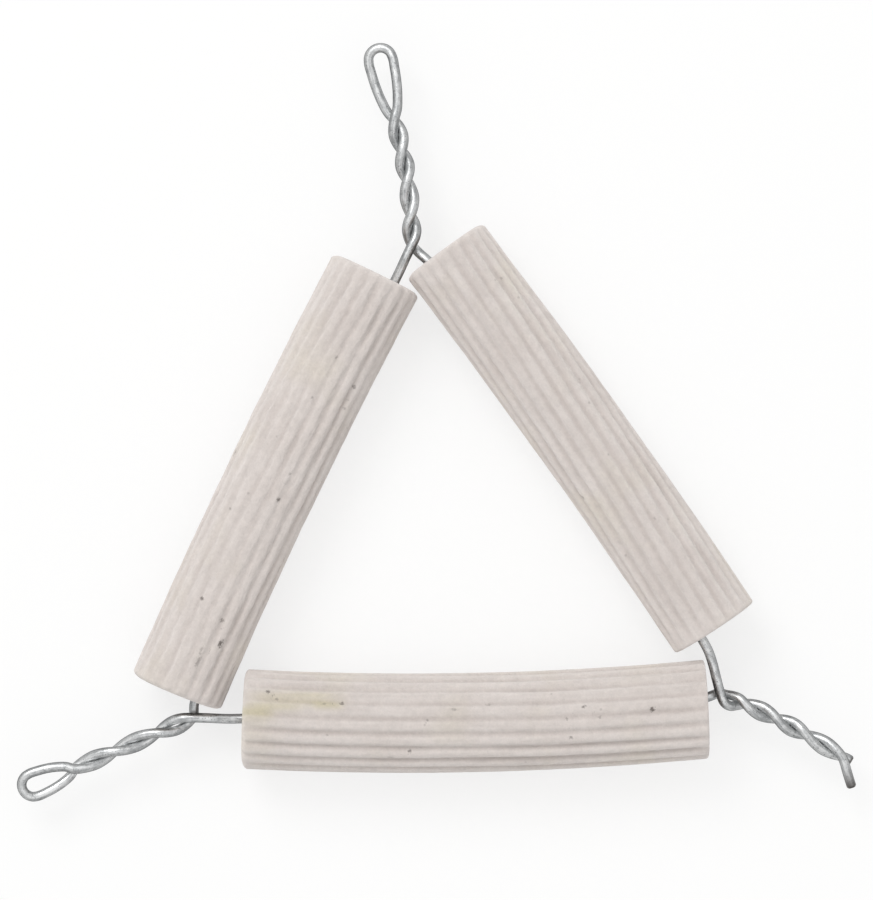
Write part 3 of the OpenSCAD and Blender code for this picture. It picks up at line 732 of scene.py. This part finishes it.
def buildWireTree():
    form = wireForm
    tree, given = newTree("drawnWire", [("Radius", "Float"), ("Sides", "Int"), ("Burr", "Float"),
                                        ("Bare Short", "Float"), ("Bare Long", "Float")])
    path = addNode(tree, "GeometryNodeMeshToCurve", {"Mesh": given["Geometry"]})
    length = addNode(tree, "GeometryNodeSplineParameter").outputs["Length"]
    alongPath = addNode(tree, "GeometryNodeStoreNamedAttribute",
                        {"Geometry": path, "Name": "along", "Value": length})
    # the nippers leave each cut end a little squeezed
    whole = addNode(tree, "GeometryNodeCurveLength", {"Curve": path})
    fromEnd = addNode(tree, "ShaderNodeMath", [whole, length], operation="SUBTRACT")
    nearest = addNode(tree, "ShaderNodeMath", [length, fromEnd], operation="MINIMUM")
    bareShort = addNode(tree, "ShaderNodeMapRange", [length, 0.0, given["Bare Short"], 1.0, 0.0])
    bareLong = addNode(tree, "ShaderNodeMapRange", [fromEnd, 0.0, given["Bare Long"], 1.0, 0.0])
    bare = addNode(tree, "ShaderNodeMath", [bareShort, bareLong], operation="MAXIMUM")
    squeeze = addNode(tree, "ShaderNodeMapRange", [nearest, 0.0, given["Burr"], form["squeezed"]],
                      interpolation_type="SMOOTHSTEP")
    nippedPath = addNode(tree, "GeometryNodeStoreNamedAttribute",
                         {"Geometry": alongPath, "Name": "cutEnd", "Value": bare})
    ring = addNode(tree, "GeometryNodeCurvePrimitiveCircle", {"Resolution": given["Sides"],
                                                              "Radius": given["Radius"]})
    skinPlace = addNode(tree, "GeometryNodeInputPosition")
    roundRing = addNode(tree, "GeometryNodeStoreNamedAttribute",
                        {"Geometry": ring, "Name": "skinPlace", "Value": skinPlace},
                        data_type="FLOAT_VECTOR")
    swept = addNode(tree, "GeometryNodeCurveToMesh", {"Curve": nippedPath, "Profile Curve": roundRing,
                                                      "Scale": squeeze, "Fill Caps": True})
    # painted shade: the colour darkens on the wire's flanks, and less on its belly beneath
    normal = addNode(tree, "GeometryNodeInputNormal")
    upwards = addNode(tree, "ShaderNodeSeparateXYZ", [normal]).outputs[2]
    flank = addNode(tree, "ShaderNodeMapRange", [upwards, *form["flankShadeRange"]])
    belly = addNode(tree, "ShaderNodeMapRange", [upwards, *form["bellyShadeRange"], 1.0, form["bellyShadeLeast"]])
    flankShade = addNode(tree, "ShaderNodeMath", [flank, belly], operation="MULTIPLY")
    # where two strands press together the painted flank shade is left off, so the crevice stays lighter
    towards = addNode(tree, "GeometryNodeInputNamedAttribute", {"Name": "partner"},
                      data_type="FLOAT_VECTOR")
    facingIt = addNode(tree, "ShaderNodeVectorMath", [normal, towards], operation="DOT_PRODUCT")
    crevice = addNode(tree, "ShaderNodeMapRange", [facingIt.outputs["Value"], *form["creviceRange"],
                                                   1.0, 0.0])
    tarnishAndShade = addNode(tree, "ShaderNodeMath", [flankShade, crevice], operation="MULTIPLY")
    kept = addNode(tree, "GeometryNodeStoreNamedAttribute",
                   {"Geometry": swept, "Name": "paintedFlankShade", "Value": tarnishAndShade})
    smooth = addNode(tree, "GeometryNodeSetShadeSmooth", {"Geometry": kept})
    real = addNode(tree, "GeometryNodeRealizeInstances", {"Geometry": smooth})
    finish = addNode(tree, "GeometryNodeSetMaterial", {"Geometry": real, "Material": zinc})
    addNode(tree, "NodeGroupOutput", [finish])
    return tree


def partners(points):
    # towards the strand that lies against each point, or nothing where the wire runs alone
    points = np.array(points)
    each = np.arange(len(points))
    apart = np.abs(each[:, None] - each) * wireForm["spacing"] > wireForm["apartMm"]
    gaps = points[None] - points[:, None]
    distance = np.where(apart, np.linalg.norm(gaps, axis=2), np.inf)
    nearest = distance.argmin(axis=1)
    reach = distance[each, nearest]
    close = np.clip((wireForm["touchMm"] - reach) / wireForm["touchFade"], 0, 1) / reach
    return gaps[each, nearest] * close[:, None]


route = smoothRoute(wireRoute())
line = bpy.data.meshes.new("wireLine")
line.from_pydata([tuple(p * mm) for p in route], [(k, k + 1) for k in range(len(route) - 1)], [])
partner = line.attributes.new("partner", "FLOAT_VECTOR", "POINT")
partner.data.foreach_set("vector", partners(route).ravel())
wireTree = buildWireTree()
wire = runTree("twistedWire", line, wireTree, {
    "Radius": (wireForm["diameter"] / 2 - wireForm["skin"]) * mm, "Sides": wireForm["sides"],
    "Burr": wireForm["burrMm"] * mm, "Bare Short": wireForm["bareMm"][0] * mm,
    "Bare Long": wireForm["bareMm"][1] * mm})
bpy.data.node_groups.remove(wireTree)
facesOut(wire.data)
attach(wire, "wire")
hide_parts("wire_frame")
print("wire", len(route), "rings")

# The floor, the light and the camera. Lengths are in metres where a name doesn't say millimetres.
studio = {
    "floor": "#FCFCFB", "floorGlow": 0.7, "floorRoughness": 0.9, "floorReach": 2.0, "floorDrop": 0.0001,
    "level": (0.32, 1.04),  # light at the horizon and overhead
    # the soft box: watts, width, turn about the vertical and tilt from it, and distance
    "keyPower": 4.3, "keySize": 0.6, "keyTurn": 122, "keyTilt": 41, "keyDistance": 1.2,
    # the camera looks straight down at viewMm, and is cameraHeight above the plane at planeMm, in
    # which it sees frameMm from side to side
    "cameraHeight": 0.6, "viewMm": (-0.467, 10.005), "frameMm": 96.46, "planeMm": 5, "sensor": 36,
    "clip": (0.01, 20),
}

floorMaterial = bpy.data.materials.new("whiteBoard")
floorMaterial.use_nodes = True
floorShader = floorMaterial.node_tree.nodes["Principled BSDF"]
floorShader.inputs["Base Color"].default_value = linearColour(studio["floor"])
floorShader.inputs["Roughness"].default_value = studio["floorRoughness"]
# the board looks nearly white to the camera and to the metal, and keeps a soft shadow
floorTree = floorMaterial.node_tree
rays = addNode(floorTree, "ShaderNodeLightPath").outputs
seen = addNode(floorTree, "ShaderNodeMath", [rays["Is Camera Ray"], rays["Is Glossy Ray"]],
               operation="ADD")
seenAll = addNode(floorTree, "ShaderNodeMath", [seen, rays["Is Transmission Ray"]], operation="ADD")
glowShare = addNode(floorTree, "ShaderNodeMath", [seenAll, studio["floorGlow"]], operation="MULTIPLY")
glow = addNode(floorTree, "ShaderNodeEmission")
board = addNode(floorTree, "ShaderNodeMixShader", [glowShare, floorShader, glow])
floorTree.links.new(board.outputs[0], floorTree.nodes["Material Output"].inputs["Surface"])
floorMesh = bpy.data.meshes.new("floor")
floorCorners = [(x * studio["floorReach"], y * studio["floorReach"], 0)
                for x, y in ((-1, -1), (1, -1), (1, 1), (-1, 1))]
floorMesh.from_pydata(floorCorners, [], [(0, 1, 2, 3)])
floorMesh.materials.append(floorMaterial)
floor = bpy.data.objects.new("floor", floorMesh)
floor.location = (0, 0, -studio["floorDrop"])
bpy.context.scene.collection.objects.link(floor)

world = bpy.data.worlds.new("studio")
bpy.context.scene.world = world
world.use_nodes = True
worldTree = world.node_tree
skyPlace = addNode(worldTree, "ShaderNodeTexCoord").outputs["Generated"]
skyHeight = addNode(worldTree, "ShaderNodeSeparateXYZ", [skyPlace]).outputs[2]
skyLevel = addNode(worldTree, "ShaderNodeMapRange", [skyHeight, 0.0, 1.0, *studio["level"]])
worldTree.nodes["Background"].inputs["Color"].default_value = (1, 1, 1, 1)
worldTree.links.new(skyLevel.outputs[0], worldTree.nodes["Background"].inputs["Strength"])

keyData = bpy.data.lights.new("softBox", "AREA")
keyData.energy = studio["keyPower"]
keyData.size = studio["keySize"]
key = bpy.data.objects.new("softBox", keyData)
keyTurn, keyTilt = math.radians(studio["keyTurn"]), math.radians(studio["keyTilt"])
towardsKey = Vector((math.sin(keyTilt) * math.cos(keyTurn), math.sin(keyTilt) * math.sin(keyTurn),
                     math.cos(keyTilt)))
key.location = studio["keyDistance"] * towardsKey
key.rotation_euler = towardsKey.to_track_quat("Z", "Y").to_euler()
bpy.context.scene.collection.objects.link(key)

cameraData = bpy.data.cameras.new("camera")
camera = bpy.data.objects.new("camera", cameraData)
camera.location = (studio["viewMm"][0] * mm, studio["viewMm"][1] * mm,
                   studio["cameraHeight"] + studio["planeMm"] * mm)
cameraData.sensor_width = studio["sensor"]
cameraData.lens = studio["sensor"] * studio["cameraHeight"] / (studio["frameMm"] * mm)
cameraData.clip_start, cameraData.clip_end = studio["clip"]
bpy.context.scene.collection.objects.link(camera)
bpy.context.scene.camera = camera
bpy.context.scene.view_settings.view_transform = "Standard"
print("stage set")
